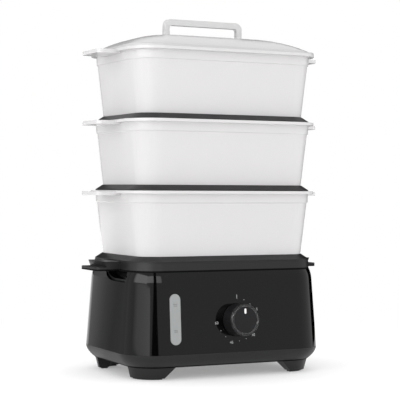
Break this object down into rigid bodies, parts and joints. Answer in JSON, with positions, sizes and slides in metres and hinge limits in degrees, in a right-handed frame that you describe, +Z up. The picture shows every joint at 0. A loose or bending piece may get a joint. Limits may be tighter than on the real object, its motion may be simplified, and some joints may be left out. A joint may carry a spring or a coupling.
{
  "type": "electric food steamer",
  "caption": "Electric food steamer: glossy base with water tank, heater and timer knob, drip tray, stacked frosted bowls on perforated dividers, and a domed lid with loop handle.",
  "frame": {"origin": "middle of the bounding box in plan, on the table under the foot pads", "axes": "+Z up, the front with the timer knob faces -Y, +X to the right seen from the front"},
  "size_m": [0.286, 0.1932, 0.409],
  "materials": {
    "casing": "high gloss black",
    "cover": "satin black",
    "pads": "matt",
    "tank": "satin dark grey",
    "window": "clear grey",
    "silicone": "matt silicone",
    "heat_plate": "die cast, satin",
    "tube": "heat tinted",
    "steel": "zinc plated",
    "ceramic": "glazed ceramic",
    "timer": "moulded",
    "knob": "satin black",
    "mark": "white inlay",
    "lead": "glass fibre sleeve",
    "bush": "satin",
    "tray": "satin black",
    "frosted": "frosted translucent",
    "handle": "milky translucent"
  },
  "bodies": {
    "base": {"bottom_cover": "cover", "foot_pads": "pads", "base_casing": "casing", "water_tank": "tank", "level_window": "window", "window_seal": "silicone", "heating_plate": "heat_plate", "heating_element": "tube", "plate_seal": "silicone", "clamp_ring": "steel", "thermostat": "ceramic", "thermal_fuse": "ceramic", "clamp_screws": "steel", "timer_case": "timer", "timer_bell": "steel", "timer_screws": "steel", "terminal_block": "timer", "internal_leads": "lead", "cord_bush": "bush", "cover_screws": "steel"},
    "knob": {"timer_knob": "knob", "knob_pointer": "mark", "timer_shaft": "steel"},
    "sleeve": {"steam_sleeve": "tank"},
    "tray": {"drip_tray": "tray"},
    "divider_low": {"divider_1": "tray"},
    "bowl_low": {"bowl_1": "frosted"},
    "divider_mid": {"divider_2": "tray"},
    "bowl_mid": {"bowl_2": "frosted"},
    "divider_top": {"divider_3": "tray"},
    "bowl_top": {"bowl_3": "frosted"},
    "lid": {"lid": "frosted", "lid_handle": "handle"}
  },
  "joints": [
    {"name": "timer_turn", "type": "hinge", "parent": "base", "child": "knob", "pos_m": [0.0045, -0.07494, 0.0645], "axis": [0, 0.9972, -0.0749], "range_deg": [0, 264]},
    {"name": "sleeve_lift", "type": "slide", "parent": "base", "child": "sleeve", "axis": [0, 0, 1], "range_m": [0, 0.007]},
    {"name": "tray_lift", "type": "slide", "parent": "base", "child": "tray", "axis": [0, 0, 1], "range_m": [0, 0.03]},
    {"name": "divider_low_lift", "type": "slide", "parent": "tray", "child": "divider_low", "axis": [0, 0, 1], "range_m": [0, 0.03]},
    {"name": "bowl_low_lift", "type": "slide", "parent": "divider_low", "child": "bowl_low", "axis": [0, 0, 1], "range_m": [0, 0.03]},
    {"name": "divider_mid_lift", "type": "slide", "parent": "bowl_low", "child": "divider_mid", "axis": [0, 0, 1], "range_m": [0, 0.03]},
    {"name": "bowl_mid_lift", "type": "slide", "parent": "divider_mid", "child": "bowl_mid", "axis": [0, 0, 1], "range_m": [0, 0.03]},
    {"name": "divider_top_lift", "type": "slide", "parent": "bowl_mid", "child": "divider_top", "axis": [0, 0, 1], "range_m": [0, 0.03]},
    {"name": "bowl_top_lift", "type": "slide", "parent": "divider_top", "child": "bowl_top", "axis": [0, 0, 1], "range_m": [0, 0.03]},
    {"name": "lid_lift", "type": "slide", "parent": "bowl_top", "child": "lid", "axis": [0, 0, 1], "range_m": [0, 0.06]}
  ]
}
